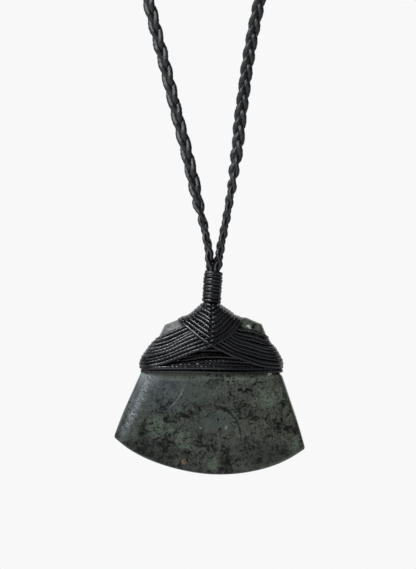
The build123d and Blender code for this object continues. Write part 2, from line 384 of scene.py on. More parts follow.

# Places on the stone's front, in the blade's frame
# Dark marks; the last, close under the lashing, is dark stone with the lashing's shadow painted into it
DARK_MARKS = [
    (-14, -35, 10, 4), (-16.3, -29.8, 1.6, 1.5), (18.4, -20.7, 1.6, 1.9), (17.1, -25.4, 1.2, 1.8),
    (20.4, -27, 1.5, 1.2), (18.6, -32.2, 2.4, 1.7), (9.9, -31, 2.2, 2.4), (-12.5, -24.2, 1.9, 0.9),
    (-6.2, -25, 2.6, 1.2), (3.9, -34, 0.9, 4), (5, -35.5, 0.6, 3), (0.6, -31.7, 1.3, 2),
    (0, -16.3, 0.8, 1.2), (8.3, -18.3, 2.8, 0.7), (9, -24.7, 1.6, 0.6), (12.5, -35.6, 1.5, 1),
    (-2, -37.5, 1.5, 0.9), (14.6, -29, 1, 1.2), (3.4, -15.7, 3.6, 1.1),
]
# Pale marks; the fifth, low on the left, also carries the left shoulder's painted sheen further down
LIGHT_MARKS = [
    (-7.3, -30.8, 0.9, 1.7), (-5.4, -32.7, 1.7, 0.8), (4.1, -27.7, 0.45, 0.5), (-2.4, -27.8, 0.4, 0.4),
    (-13.4, -27.9, 2.3, 2.8), (9.6, -2.7, 3.2, 2.4), (-9.6, -28, 1.4, 1.6), (14.2, -20, 1.8, 2.2),
    (21.6, -31, 1, 1.6), (1.6, -37, 1.2, 1.6),
]
CALM_PLACES = [(-4, -18.6, 3.6, 3), (1.6, -25.9, 4.2, 2.4)]  # they have little mottling
SMOOTH_ZONE = (-14, -18.5, 8.5, 6.5)
UNDER_LASHING = (-4, -15, 16, 1.3)
LOW_LEFT, LOW_RIGHT = (-15.5, -34.6, 9, 3.2), (15.5, -33.6, 8, 3)
UPPER_LEFT, POLL_LEFT = (-15.5, -15.6, 2.6, 2.6), (-10.6, -4.6, 3.2, 3.8)
CUTTING_EDGE = (0, EDGE_CENTRE, EDGE_RADIUS, EDGE_RADIUS)
# Each vein is the stretch of a wide curve that lies in a patch
PALE_CURVE, PALE_STRETCH = (-19, -15, 12.6, 11.6), (-8.2, -20.3, 2.9, 3.6)
DARK_CURVE, DARK_STRETCH = (0.5, -29.9, 7.45, 7.75), (5.4, -25.6, 5.4, 5)
DARK_THICKER = (3.2, -22.6, 2, 1.6)
RUST, RUST_CORE = (-5.9, -36.5, 0.52, 0.52), (-5.82, -36.42, 0.52, 0.52)
# White spots, the second of them a painted glint, with how white each is
WHITE_SPOTS_AND_GLINT = [
    (8.4, -2.05, 0.4, 0.4, 0.85), (14.3, -13.75, 0.42, 0.26, 0.85), (4.1, -27.7, 0.4, 0.5, 0.16),
    (-2.4, -27.8, 0.4, 0.35, 0.1),
]
LEFT_SIDE = 10.32  # how far the left side's line is from the blade's origin
STONE_GLOSS = 0.09


def stone_material():
    """Dark greenstone with black mottling. Its zones and marks are on the front alone."""
    s = Shader("greenstone")
    spot = s.position()
    jitter = s.node("ShaderNodeTexNoise", {"Vector": spot, "Scale": 0.9, "Detail": 4}, output="Color")
    jitter = s.vector("SUBTRACT", jitter, (0.5, 0.5, 0.5))
    rough = s.vector("MULTIPLY_ADD", jitter, (2.2, 2.2, 2.2), spot)
    wavy = s.vector("MULTIPLY_ADD", jitter, (0.5, 0.5, 0.5), spot)
    across, depth, up = s.node("ShaderNodeSeparateXYZ", {0: spot}).node.outputs
    front = s.span(depth, 0.4, -0.4)

    # Grey-green body in clouds, warmer and browner to the right, with a fine grain
    s.color = s.mix(s.span(s.noise(spot, 0.17, 5, 0.6, 0.8), 0.3, 0.72), BODY_DARK, BODY_LIGHT)
    warm = s.times(s.span(across, -6, 20), 0.5)
    s.paint(BODY_WARM, warm)
    grain = s.noise(spot, 1.9, 6, 0.68, 0.3)
    s.paint(GRAIN_DARK, s.span(grain, 0.5, 0.38), 0.8)
    s.paint(GRAIN_LIGHT, s.span(grain, 0.52, 0.66), 0.85)
    brown = s.span(s.noise(spot, 0.42, 4, 0.6, 0.8), 0.48, 0.66)
    s.paint(BROWN, brown, s.span(across, -4, 12, 0.1, 0.6))

    # Smooth blue-grey zone on the upper left
    smooth = s.times(s.patch(rough, SMOOTH_ZONE), front)
    s.paint(BLUE_GREY, smooth, 0.45)
    deep = s.span(s.noise(spot, 0.45, 4, 0.6, 0.6), 0.5, 0.64, 0, 0.75)
    s.paint(DEEP_BLUE, smooth, deep)

    # Painted light close under the lashing, against the lashing's shadow, and painted shade towards both
    # ends of the cutting edge
    band = s.times(s.patch(rough, UNDER_LASHING), front)
    s.paint(PAINTED_LIGHT_BAND, band, s.span(grain, 0.35, 0.6, 0.25, 0.65))
    low = s.most(s.patch(rough, LOW_LEFT), s.times(s.patch(rough, LOW_RIGHT), 0.95))
    s.paint(SHADE, low, front, 0.62)

    # Blue-green calm places and pale marks
    calm = s.times(s.patches(rough, CALM_PLACES), front)
    s.paint(BLUE_GREEN, calm, 0.5)
    pale = s.times(s.patches(rough, LIGHT_MARKS), front)
    s.paint(PALE_GREEN, pale, s.span(grain, 0.38, 0.62, 0.1, 0.75))

    # Black mottling in blotches and specks, thicker in some places
    dark = s.times(s.patches(rough, DARK_MARKS, 0.7), front)
    share = s.span(s.noise(spot, 0.13, 3, 0.5), 0.35, 0.68, -0.04, 0.04)
    share = s.plus(share, s.span(up, -22, -33, 0, 0.015))
    for place, more in ((warm, -0.035), (dark, 0.055), (smooth, -0.05), (pale, -0.055), (calm, -0.045)):
        share = s.plus(share, s.times(place, more))
    cluster = s.apart(s.noise(spot, 0.36, 5, 0.62, 1.2), 0.5)
    share = s.plus(share, s.span(cluster, 0.15, 0, -0.035, 0.055))
    sand = s.noise(spot, 3.2, 4, 0.7)
    grainy = s.plus(share, s.span(sand, 0.3, 0.7, -0.045, 0.045))
    blotch = s.span(s.plus(s.noise(spot, 0.95, 6, 0.66, 0.8), grainy), 0.54, 0.645)
    speck = s.span(s.plus(s.noise(spot, 1.9, 5, 0.62, 0.5), share), 0.55, 0.64)
    s.paint(BLACK, s.most(s.times(blotch, 0.97), s.times(speck, 0.86)))

    # A pale vein and a dark one
    vein = s.span(s.apart(s.away(wavy, PALE_CURVE), 1), 0.015, 0.003)
    vein = s.times(vein, s.span(grain, 0.42, 0.56, 0.35, 1), s.patch(spot, PALE_STRETCH, 0.3))
    s.paint(PALE_VEIN, vein, front, 0.8)
    thicker = s.times(s.patch(spot, DARK_THICKER, 0.6), 0.035)
    vein = s.span(s.minus(s.apart(s.away(wavy, DARK_CURVE), 1), thicker), 0.042, 0.01)
    s.paint(DARK_VEIN, vein, s.patch(spot, DARK_STRETCH, 0.35), front, 0.9)

    # Paler edges, partly painted light: the left side, the left of the poll and the cutting edge
    # Frosted wear along the left shoulder, with a painted sheen where the shoulder faces the lamps and a
    # painted glow on the upper left
    inward = s.vector("DOT_PRODUCT", rough, (SIDE_OUT[0], 0, -SIDE_OUT[1]), output="Value")
    inward = s.plus(inward, LEFT_SIDE)
    worn = s.times(s.span(inward, 0.7, 1.6), s.span(inward, 3.6, 1.9), s.span(up, -31.5, -27, 0.25, 1))
    worn = s.times(s.most(worn, s.times(s.patch(rough, UPPER_LEFT, 0.7), 0.7)), front)
    s.paint(WORN_PITS, worn, s.span(sand, 0.46, 0.38, 0, 0.8))
    s.paint(WORN_AND_SHEEN, s.span(sand, 0.42, 0.58), 0.9, worn)
    # The left of the poll: frosted grinding with painted light on it, as its facet faces the lamps
    poll = s.times(s.patch(spot, POLL_LEFT, 0.35), front)
    s.paint(POLL_FROST_AND_LIGHT, poll, s.span(grain, 0.36, 0.6, 0.15, 0.85))
    # Painted light along the thin cutting edge, as if light shone through it
    outward = s.times(s.minus(s.away(spot, CUTTING_EDGE), 1), EDGE_RADIUS)
    trim = s.plus(s.span(across, -6, 14, 0, 0.62), s.span(across, -13, -19, 0, 0.22))
    s.paint(PAINTED_EDGE_LIGHT, s.span(s.minus(outward, trim), -0.5, -0.15, 0, 0.5))

    # A rusty spot low on the left, white ones and a painted glint
    rust, core = s.away(wavy, RUST), s.away(wavy, RUST_CORE)
    s.paint(RUST_HALO, s.span(rust, 1.3, 0.8), front)
    s.paint(RUST_RING, s.span(rust, 0.95, 0.6), front)
    s.paint(RUST_PIT, s.span(core, 0.7, 0.35), front)
    for *place, whiteness in WHITE_SPOTS_AND_GLINT:
        s.paint(WHITE, s.span(s.away(rough, place), 1.3, 0.6, 0, whiteness), front)

    s.set("Base Color", s.color)
    s.set("Roughness", s.span(grain, 0.3, 0.7, 0.28, 0.38))
    s.set("Specular IOR Level", STONE_GLOSS)
    s.bump(grain, 0.35)
    return s.material


thread_look = thread_material(
    "waxed_thread", (0.0022, 0.0023, 0.0030), (0.0062, 0.0064, 0.0082), roughness=(0.17, 0.30), fibres=0.35
)
plait_look = thread_material(
    "plait_thread", (0.0024, 0.0026, 0.0034), (0.0085, 0.0089, 0.0110), roughness=(0.30, 0.46), fibres=0.8
)
stone_look = stone_material()

# Blade
COLUMNS, ROWS, TRIM_POINTS = 221, 181, 200
SIDE_CROWDING, END_CROWDING = 1.7, 1.5  # powers that crowd the mesh's points towards its borders
RIM, EDGE_ROUND = 1, 0.45  # half thickness of the sides, and how far in they and the edge are rounded
SHOULDER_WIDTHS, SHOULDER_PLACES = (4.2, 2), (-6, 6)  # the left shoulder is wider
SHOULDER_POWER, SHOULDER_BLEND = 1.6, 0.4
FACE_WAVES, SIDE_WAVE, EDGE_WAVE = (0.012, 0.008), 0.07, 0.05  # the faces' are shares of the thickness
POLL_SHARE = 0.4  # of the height, over which the poll's own lean and trims fade out
POLL_TILT = 0.055  # how much less the poll leans than the cutting edge
CORNER_ROUND = 0.7
# How far the stone's hand-ground outline stands off its true form
SIDE_TRIM = 0.25  # the right side, outwards
SIDE_TRIM_FROM, SIDE_TRIM_OVER = 0.15, 0.2  # shares of the height
POLL_TRIM, POLL_LEFT_TRIM = 0.22, 0.35  # the poll's top, downwards, and its left side, outwards
CORNER_TRIM = np.array([0.28, -0.32])  # the right lower corner: across, up
# The cutting edge: upwards, at places across it
EDGE_TRIM = [
    (-23.7, -0.12), (-20.5, -0.3), (-17, -0.2), (-13, 0), (-8, 0.14), (0, -0.1), (8, -0.42),
    (14, -0.64), (18.5, -0.72), (23.7, -0.4),
]


def half_width(drop):
    """Half the blade's width at a drop below the poll's top, notches included."""
    share = (drop - POLL_CORNER_DROP) / (SIDE_LENGTH - POLL_CORNER_DROP)
    width = POLL_WIDTH / 2 + share * (EDGE_WIDTH - POLL_WIDTH) / 2 + 4 * SIDE_BOW * share * (1 - share)
    off = np.clip(np.abs(drop - NOTCH_DROP), 0, NOTCH_RADIUS)
    notch = np.sqrt(NOTCH_RADIUS**2 - off**2) - (NOTCH_RADIUS - NOTCH_DEPTH)
    poll = POLL_TOP_WIDTH / 2 + CLIP_WIDTH * drop / POLL_CORNER_DROP
    return np.where(drop < POLL_CORNER_DROP, poll, width - np.maximum(notch, 0))


def half_thickness(a, b):
    """Half the blade's thickness at a spot of its front view."""
    from_side = (half_width(-b) - np.abs(a)) * SIDE_OUT[0]
    from_clip = (POLL_TOP_WIDTH / 2 - np.abs(a)) * CLIP_OUT[0] - b * CLIP_OUT[1]
    inside = np.maximum(np.minimum(np.minimum(from_side, from_clip), -b), 0)
    out = np.hypot(a, b - EDGE_CENTRE)
    from_edge = np.maximum(EDGE_RADIUS - out, 0)
    face = np.clip(out / (EDGE_RADIUS - BEVEL_LENGTH), 0, 1)
    bevel = np.clip(1 - from_edge / BEVEL_LENGTH, 0, 1)
    lens = np.where(
        from_edge > BEVEL_LENGTH,
        CROWN + (HEEL - CROWN) * face + FACE_FULLNESS * face * (1 - face),
        HEEL + (EDGE - HEEL) * bevel + BEVEL_FULLNESS * bevel * (1 - bevel),
    )
    shoulder = quarter_round(inside / np.interp(a, SHOULDER_PLACES, SHOULDER_WIDTHS), SHOULDER_POWER)
    wall = RIM * quarter_round(inside / EDGE_ROUND) + (CROWN - RIM) * shoulder
    height = soft_min(lens, np.where(inside > 0, wall, 0), SHOULDER_BLEND)
    return np.maximum(height, 0) * quarter_round(from_edge / EDGE_ROUND)


def wear_corners(a, b):
    """The front view with its two lower corners worn round."""
    slope = math.atan2((EDGE_WIDTH - POLL_WIDTH) / 2, SIDE_LENGTH - POLL_CORNER_DROP)
    fall = math.asin(EDGE_WIDTH / 2 / EDGE_RADIUS)
    for hand in (-1, 1):
        side_out = np.array([hand * math.cos(slope), math.sin(slope)])
        edge_out = np.array([hand * math.sin(fall), -math.cos(fall)])
        corner = np.array([hand * EDGE_WIDTH / 2, -SIDE_LENGTH])
        if hand > 0:
            corner += CORNER_TRIM + (SIDE_TRIM, EDGE_TRIM[-1][1])
        apart = math.acos(side_out.dot(edge_out))
        centre = corner - unit(side_out + edge_out) * CORNER_ROUND / math.cos(apart / 2)
        da, db = a - centre[0], b - centre[1]
        far = np.hypot(da, db) + 1e-9
        to_side, to_edge = [
            np.arccos(np.clip((da * out[0] + db * out[1]) / far, -1, 1)) for out in (side_out, edge_out)
        ]
        within = (to_side < apart) & (to_edge < apart)
        shrink = np.where(within, np.cos(np.minimum(to_side, to_edge)), 1)
        a, b = centre[0] + da * shrink, centre[1] + db * shrink
    return a, b


def blade_form():
    """Across, up and half thickness at the mesh's points, in rows from the poll down."""
    x = np.linspace(-1, 1, COLUMNS)
    y = np.linspace(0, 1, ROWS)
    s = np.sign(x) * (1 - (1 - np.abs(x)) ** SIDE_CROWDING)
    t = np.where(y < 0.5, 0.5 * (2 * y) ** END_CROWDING, 1 - 0.5 * (2 - 2 * y) ** END_CROWDING)
    s, t = s[None, :], t[:, None]
    top = -np.maximum(np.abs(s) * POLL_WIDTH / 2 - POLL_TOP_WIDTH / 2, 0) * POLL_CORNER_DROP / CLIP_WIDTH
    bottom = EDGE_CENTRE - np.sqrt(EDGE_RADIUS**2 - (s * EDGE_WIDTH / 2) ** 2)
    a = s * half_width(POLL_CORNER_DROP + t * (SIDE_LENGTH - POLL_CORNER_DROP))
    b = top + (bottom - top) * t
    h = half_thickness(a, b)
    # Hand-ground: the faces and sides are not quite true
    broad, narrow = FACE_WAVES
    h = h * (1 + broad * np.sin(a * 0.31 + b * 0.17) + narrow * np.sin(b * 0.53 - a * 0.12 + 1))
    a = a + SIDE_WAVE * s**5 * (np.sin(b * 0.42 + 0.6) + np.sin(b * 0.19)) * (t * (1 - t) * 4)
    b = b + EDGE_WAVE * t**6 * np.sin(a * 0.23 + 0.5)
    # Seen level, the poll leans less than the cutting edge, whose right corner stands lower
    upper, right = ease(1 - t / POLL_SHARE), np.maximum(s, 0) ** 3
    a, b = a - POLL_LEFT_TRIM * upper * np.maximum(-s, 0), b + POLL_TILT * a * upper
    a, b = a + CORNER_TRIM[0] * right * t**4, b + CORNER_TRIM[1] * right * t**4
    trim = smooth_line(EDGE_TRIM, TRIM_POINTS)
    b = b + t**4 * np.interp(s * EDGE_WIDTH / 2, trim[:, 0], trim[:, 1])
    a = a + SIDE_TRIM * right * ease((t - SIDE_TRIM_FROM) / SIDE_TRIM_OVER)
    b = b - POLL_TRIM * upper * (1 - s**6)
    return *wear_corners(a, b), h


def build_blade():
    a, b, h = blade_form()
    inner = np.zeros((ROWS, COLUMNS), bool)
    inner[1:-1, 1:-1] = True
    front = np.stack([a, np.where(inner, -h, 0), b], -1).reshape(-1, 3)
    back = np.stack([a, h, b], -1)[inner]
    f = np.arange(ROWS * COLUMNS).reshape(ROWS, COLUMNS)
    g = f.copy()
    g[inner] = ROWS * COLUMNS + np.arange(inner.sum())
    faces = np.stack([f[:-1, :-1], f[1:, :-1], f[1:, 1:], f[:-1, 1:]], -1).reshape(-1, 4).tolist()
    faces += np.stack([g[:-1, :-1], g[:-1, 1:], g[1:, 1:], g[1:, :-1]], -1).reshape(-1, 4).tolist()
    spots = np.vstack([front, back])
    stone = make_piece("greenstone_blade", spots, faces, stone_look, "greenstone", "toki_blade")
    stone.location = BLADE * MM
    stone.rotation_euler = (0, BLADE_LEAN, 0)
    return stone


blade = build_blade()

# Lashing, where each turn is laid on what is there already
THREAD, LEVEL_THREAD, BETWEEN_THREAD = 0.48, 0.52, 0.41  # radii
THICKNESSES = (0.95, 1.08)  # the turns' range, as shares
SOFT = 0.4  # radius with which threads lie on each other, as they press flat
PRESS_FROM, PRESS_SOFT, PRESS_KEEP = 4.3, 0.4, 0.42  # over the first height the last share is left
SLACK = 0.15  # how little tight a turn is, from 0 to 1
SIDE_REACH = 3  # length over which a turn bends round a side
FLANK_REACH, FLANK_GROWTH = 1.6, 1.4  # the same at the mound: in the top turn, and what the last one adds
CURL_POWER, CURL_PLAY = 1.9, 0.3
THREAD_STEP, THREAD_PASSES = 0.18, 6
SWAYS, SWAY = 4, {1: 0.06, -1: 0.12}  # waves in a turn's course, and how far it strays in front and behind
LASHING_TRIM, TRIM_FROM, TRIM_OVER = 0.36, 13.5, 3  # how far the turns stand out at the right side
FACE_POINTS, FAN_POINTS, CROSSING_TURNS = 420, 25, 9
HIDDEN_TURNS = 2  # level turns that the crossing ones hide, with nothing in between

# The mound under the crossing threads, from the top of the poll up to the neck
MOUND_V = np.array([-2.2, -0.6, 0.2, 0.9, 1.7, 2.4, 3.2, 3.8])
MOUND_HALF_WIDTH = np.array([6.9, 6.2, 5.5, 4.5, 3.4, 2.6, 1.9, 1.2])
MOUND_HALF_DEPTH = np.array([2.9, 2.7, 2.5, 2.25, 2, 1.8, 1.5, 1.4])
MOUND_SIDES, MOUND_INSET = 36, 0.15

# Height maps of the front view: what the turns lie on, and how high they are on each face
CELL = 0.1
LOW_U, HIGH_U, LOW_V, HIGH_V = -21, 21, -18, 8
NOTHING = -9


def ground_heights():
    """Half the thickness of the stone and the mound at each cell."""
    u = np.arange(LOW_U, HIGH_U, CELL)[:, None]
    v = np.arange(LOW_V, HIGH_V, CELL)[None, :]
    a = (u - POLL_OFFSET) * math.cos(BLADE_LEAN) - v * math.sin(BLADE_LEAN)
    b = (u - POLL_OFFSET) * math.sin(BLADE_LEAN) + v * math.cos(BLADE_LEAN)
    stone = half_thickness(a, b)
    stone[(b > 0) | (stone <= 0)] = NOTHING
    inside = np.clip(1 - (u / np.interp(v, MOUND_V, MOUND_HALF_WIDTH)) ** 2, 0, 1)
    on_mound = (inside > 0) & (v > MOUND_V[0]) & (v < MOUND_V[-1])
    mound = np.interp(v, MOUND_V, MOUND_HALF_DEPTH) * np.sqrt(inside)
    return np.maximum(stone, np.where(on_mound, mound, NOTHING))


ground = ground_heights()
laid = {face: np.full_like(ground, NOTHING) for face in (1, -1)}


def under(line, radius):
    """The cells under a ball at each point of a line, and its rise over its middle there."""
    reach = np.arange(-int(radius / CELL), int(radius / CELL) + 1)
    i, j = np.meshgrid(reach, reach, indexing="ij")
    rise = radius**2 - (i**2 + j**2) * CELL**2
    keep = rise > 0
    u = np.rint((line[:, 0] - LOW_U) / CELL).astype(int)
    v = np.rint((line[:, 1] - LOW_V) / CELL).astype(int)
    return (u[:, None] + i[keep], v[:, None] + j[keep]), np.sqrt(rise[keep])


def resting_height(surface, line, radius):
    """The height of a ball's middle where it rests on a surface, along a line."""
    at, rise = under(line, radius)
    return (surface[at] + rise).max(1)


def stamp(face, line, height, radius=SOFT):
    at, rise = under(line, radius)
    np.maximum.at(laid[face], at, height[:, None] + rise)


def taut(along, height):
    """The height of a line pulled tight over a profile."""
    keep = [0]
    for i in range(1, len(along)):
        while len(keep) > 1:
            p, q = keep[-2], keep[-1]
            rise_to_q = (height[q] - height[p]) * (along[i] - along[p])
            if rise_to_q > (height[i] - height[p]) * (along[q] - along[p]):
                break
            keep.pop()
        keep.append(i)
    return np.interp(along, along[keep], height[keep])


def pressed(height):
    """The piled threads sink into each other, the more the higher the pile."""
    over = PRESS_SOFT * np.logaddexp(0, (height - PRESS_FROM) / PRESS_SOFT)
    return height - (1 - PRESS_KEEP) * over


def one_face(face, plan, start_reach, end_reach):
    """A turn over one face, which bends round the sides within its reaches."""
    line = smooth_line(plan, FACE_POINTS, bunch=True)
    along = lengths_along(line)
    height = np.maximum(resting_height(ground, line, THREAD), resting_height(laid[face], line, SOFT))
    height = np.maximum(height, 0)
    for off, reach in ((along, start_reach), (along[-1] - along, end_reach)):
        bend = height[np.argmin(np.abs(off - reach))] * quarter_round(off / reach, CURL_POWER)
        height = np.where(off < reach, np.maximum(bend, np.minimum(height, bend + CURL_PLAY)), height)
    height = (1 - SLACK) * taut(along, height) + SLACK * height
    stamp(face, line, height)
    return np.column_stack([line, pressed(height) * face])


def wander(plan, amount):
    """The same plan line, trimmed at the right and swayed a little between its ends."""
    plan = np.array(plan, float)
    plan[:, 0] += LASHING_TRIM * ease((plan[:, 0] - TRIM_FROM) / TRIM_OVER)
    waves = np.arange(1, SWAYS + 1)[:, None]
    sway = np.sin(np.pi * waves * np.linspace(0, 1, len(plan))) / np.sqrt(waves)
    return plan + sway.T @ chance.normal(0, amount, (SWAYS, 2))


def fan(plans):
    """The same fan of plan lines with as many lines in it as there are crossing turns."""
    lines = np.array([smooth_line(plan, FAN_POINTS) for plan in plans])
    at = np.linspace(0, len(plans) - 1, CROSSING_TURNS)
    i = np.minimum(at.astype(int), len(plans) - 2)
    share = (at - i)[:, None, None]
    return lines[i] * (1 - share) + lines[i + 1] * share


def lay_turn(threads, plan, start_reach, radius=THREAD):
    """A closed turn over the front and the back, which bends round a side at its plan's end."""
    front, back = [one_face(face, wander(plan, SWAY[face]), start_reach, SIDE_REACH) for face in (1, -1)]
    loop = even(np.vstack([front, back[::-1]]), THREAD_STEP, closed=True)
    loop = from_lashing(relax(loop, THREAD_PASSES, closed=True))
    threads.add(loop, radius * chance.uniform(*THICKNESSES), closed=True)
    return front, back


BETWEEN_LENGTH, BETWEEN_STEP, BETWEEN_PASSES = 4.2, 0.1, 4
SINK, SINK_FROM = 0.9, 0.45  # how deep its ends sink, and the share of each half that stays up


def lay_between(threads, turn, next_turn):
    """Threads pressed in between two turns at the sides, sinking away from there."""
    for way in (1, -1):
        halves = []
        for one, other in zip(turn, next_turn):
            one, other = even(one[::way], BETWEEN_STEP), even(other[::way], BETWEEN_STEP)
            count = int(BETWEEN_LENGTH / BETWEEN_STEP)
            half = (one[:count] + other[:count]) / 2
            sunk = ease((np.arange(count) / count - SINK_FROM) / (1 - SINK_FROM))
            half[:, 2] -= np.sign(half[-1, 2]) * sunk * SINK
            halves.append(half)
        line = even(np.vstack([halves[1][::-1], halves[0]]), THREAD_STEP)
        threads.add(from_lashing(relax(line, BETWEEN_PASSES)), BETWEEN_THREAD)


def add_mound(threads):
    """The mound itself, hidden by the turns on it."""
    n = MOUND_SIDES
    around = np.linspace(0, 2 * math.pi, n, endpoint=False)
    rings = [
        np.column_stack([w * np.cos(around), np.full(n, v), d * np.sin(around)])
        for v, w, d in zip(MOUND_V, MOUND_HALF_WIDTH - MOUND_INSET, MOUND_HALF_DEPTH - MOUND_INSET)
    ]
    last = (len(rings) - 1) * n
    faces = []
    for i in range(0, last, n):
        for j in range(n):
            k = (j + 1) % n
            faces.append([i + j, i + n + j, i + n + k, i + k])
    faces += [list(range(n)), list(range(last + n - 1, last - 1, -1))]
    threads.add_mesh(from_lashing(np.vstack(rings)), faces)


# Level turns at the notches, from the top one down
LEVEL = [
    [(-15.2, -7.6), (-8, -8.2), (0, -8.3), (8, -8.3), (15.5, -7.9)],
    [(-15.6, -8.5), (-8, -9), (0, -8.95), (8, -9.1), (15.8, -8.8)],
    [(-15.9, -9.6), (-8, -10), (-2.5, -9.3), (1.5, -9.2), (8, -9.9), (16.1, -9.7)],
    [(-16.12, -10.95), (-13.45, -11.08), (-10.2, -11.17), (-4.7, -10.38), (-2.58, -9.95), (1.42, -9.83),
     (5.3, -10.08), (9.8, -10.65), (13.3, -10.83), (16.35, -10.7)],
    [(-16.2, -11.53), (-13.45, -11.67), (-10.7, -11.67), (-8.2, -11.48), (-4.45, -11.12), (0.05, -10.9),
     (5.05, -10.9), (9.8, -11.33), (13.55, -11.42), (16.38, -11.33)],
    [(-16.4, -12.12), (-12.7, -12.17), (-8.95, -12.05), (-5.2, -11.8), (0.05, -11.8), (7.05, -12.03),
     (12.3, -12.15), (16.55, -12)],
    [(-16.75, -12.77), (-12.7, -12.58), (-7.95, -12.66), (0.05, -12.72), (7.05, -12.82), (12.8, -12.78),
     (16.92, -12.73)],
    [(-17.05, -13.52), (-11.25, -13.44), (-1.78, -13.54), (6.1, -13.64), (12.8, -13.5), (17.22, -13.45)],
]
# Crossing turns, from the neck down, from the mound's left flank to the right notch
FALLING = [
    [(-1.45, 3.42), (-0.58, 3.02), (0.3, 2.42), (2.8, -0.2), (4.67, -1.65), (6.5, -2.85), (9.55, -3.42),
     (12.05, -4.1), (14, -5.25)],
    [(-2.33, 2.8), (-1.08, 2.3), (0.22, 1.3), (2.8, -1.34), (4.67, -2.78), (6.5, -4.08), (9.55, -4.86),
     (12.55, -5.75), (14.5, -6.62)],
    [(-3.15, 2.05), (-1.45, 1.38), (0.12, 0.17), (2.8, -2.47), (4.67, -3.83), (6.5, -5.04), (9.55, -5.88),
     (12.55, -6.78), (15.35, -7.62)],
    [(-4, 1.3), (-1.95, 0.33), (0.05, -1.15), (2.8, -3.61), (4.67, -4.88), (6.5, -6), (9.55, -6.89),
     (12.55, -7.8), (16.02, -8.6)],
    [(-4.9, 0.55), (-3.7, 0.02), (-2.05, -0.83), (-0.08, -2.4), (2.8, -4.74), (4.67, -5.93), (6.5, -6.95),
     (9.55, -7.9), (12.55, -8.83), (16.52, -9.58)],
    [(-5.75, -0.05), (-4.7, -0.48), (-3.38, -1.3), (-1.78, -2.48), (-0.2, -3.65), (2.8, -5.88),
     (4.67, -6.98), (6.5, -7.91), (9.55, -8.91), (12.55, -9.85), (17.1, -10.58)],
    [(-6.95, -0.2), (-5.05, -1.6), (-2.85, -3.25), (-0.48, -4.83), (2.8, -7.01), (4.67, -8.03),
     (6.5, -8.87), (9.55, -9.93), (12.55, -10.88), (17.4, -11.55)],
    [(-7.75, -0.75), (-5.9, -2.3), (-3.38, -4.38), (-0.73, -6.23), (2.8, -8.14), (4.67, -9.08),
     (6.5, -9.83), (9.55, -10.94), (12.55, -11.9), (17.27, -12.48)],
]
# And from the mound's right flank to the left notch
RISING = [
    [(1.8, 3.05), (1.42, 2.67), (0.92, 2.22), (0.05, 1.62), (-3.45, -1.1), (-6.7, -2.62), (-10.7, -4.22),
     (-13.4, -5.7)],
    [(2.62, 2.52), (2.25, 2.05), (1.55, 1.35), (0.05, 0.35), (-3.45, -2.08), (-6.7, -3.62), (-10.7, -5.3),
     (-13.95, -6.45), (-14.62, -6.85)],
    [(3.45, 1.97), (3.05, 1.42), (2.3, 0.67), (1.17, -0.28), (0.05, -0.95), (-3.45, -2.95), (-6.7, -4.5),
     (-10.7, -6.33), (-13.95, -7.33), (-15.38, -7.9)],
    [(4.25, 1.42), (3.8, 0.8), (2.92, -0.08), (1.55, -1.28), (0.05, -2.23), (-3.45, -3.83), (-6.7, -5.3),
     (-10.7, -7.2), (-13.95, -8.15), (-16.08, -8.83)],
    [(4.92, 0.97), (4.55, 0.3), (3.75, -0.7), (2.15, -2.33), (0.05, -3.53), (-3.45, -4.9), (-6.7, -6.3),
     (-10.7, -8.15), (-13.95, -9.03), (-16.7, -9.73)],
    [(5.88, 0.1), (5.42, -0.58), (4.27, -1.83), (2.42, -3.38), (0.05, -4.7), (-3.45, -6.08), (-6.7, -7.48),
     (-10.7, -9.15), (-13.95, -10), (-17.23, -10.65)],
    [(6.7, -0.1), (6.2, -1.25), (5.05, -2.83), (2.8, -4.53), (0.05, -5.98), (-3.45, -7.33), (-6.7, -8.48),
     (-10.7, -10.1), (-13.95, -11.05), (-17.48, -11.58)],
    [(7.45, -0.5), (6.9, -2), (5.8, -3.58), (3.3, -5.4), (0.05, -7.12), (-3.45, -8.33), (-6.7, -9.48),
     (-10.7, -11.08), (-13.95, -11.92), (-17.4, -12.53)],
]

# The plait's strands end in tails over both faces of the poll, under the lashing
TAIL_RADIUS, TAIL_POINTS = 0.45, 120
TAIL = [
    (0.6, 3.5, 1.06), (0.7, 1, 2.1), (0.9, -1.2, 3.15), (1, -2.6, 3.68), (1.2, -5, 3.75),
    (1.4, -8, 3.68),
]


def build_lashing():
    """Level turns, then crossing turns by pairs, then the threads in between at the sides."""
    for hand in (-1, 1):
        tail = smooth_line([(hand * u, v, h) for u, v, h in TAIL], TAIL_POINTS)
        for face in (1, -1):
            stamp(face, tail[:, :2], tail[:, 2], TAIL_RADIUS)
    level, falling, rising = Threads(), Threads(), Threads()
    level_laid = [lay_turn(level, plan, SIDE_REACH, LEVEL_THREAD) for plan in LEVEL]
    falling_laid, rising_laid = [], []
    for turn, (fall, rise) in enumerate(zip(fan(FALLING), fan(RISING))):
        flank = FLANK_REACH + FLANK_GROWTH * turn / (CROSSING_TURNS - 1)
        falling_laid.append(lay_turn(falling, fall, flank))
        rising_laid.append(lay_turn(rising, rise, flank))
    groups = (level, level_laid[HIDDEN_TURNS:]), (falling, falling_laid), (rising, rising_laid)
    for threads, turns in groups:
        for turn, next_turn in zip(turns, turns[1:]):
            lay_between(threads, turn, next_turn)
    add_mound(falling)
    return [
        level.piece("level_lashing", thread_look, "waxed_thread", "lower_band"),
        falling.piece("falling_lashing", thread_look, "waxed_thread", "right_wraps", "chevron_wraps"),
        rising.piece("rising_lashing", thread_look, "waxed_thread", "left_wraps"),
    ]


lashing_pieces = build_lashing()

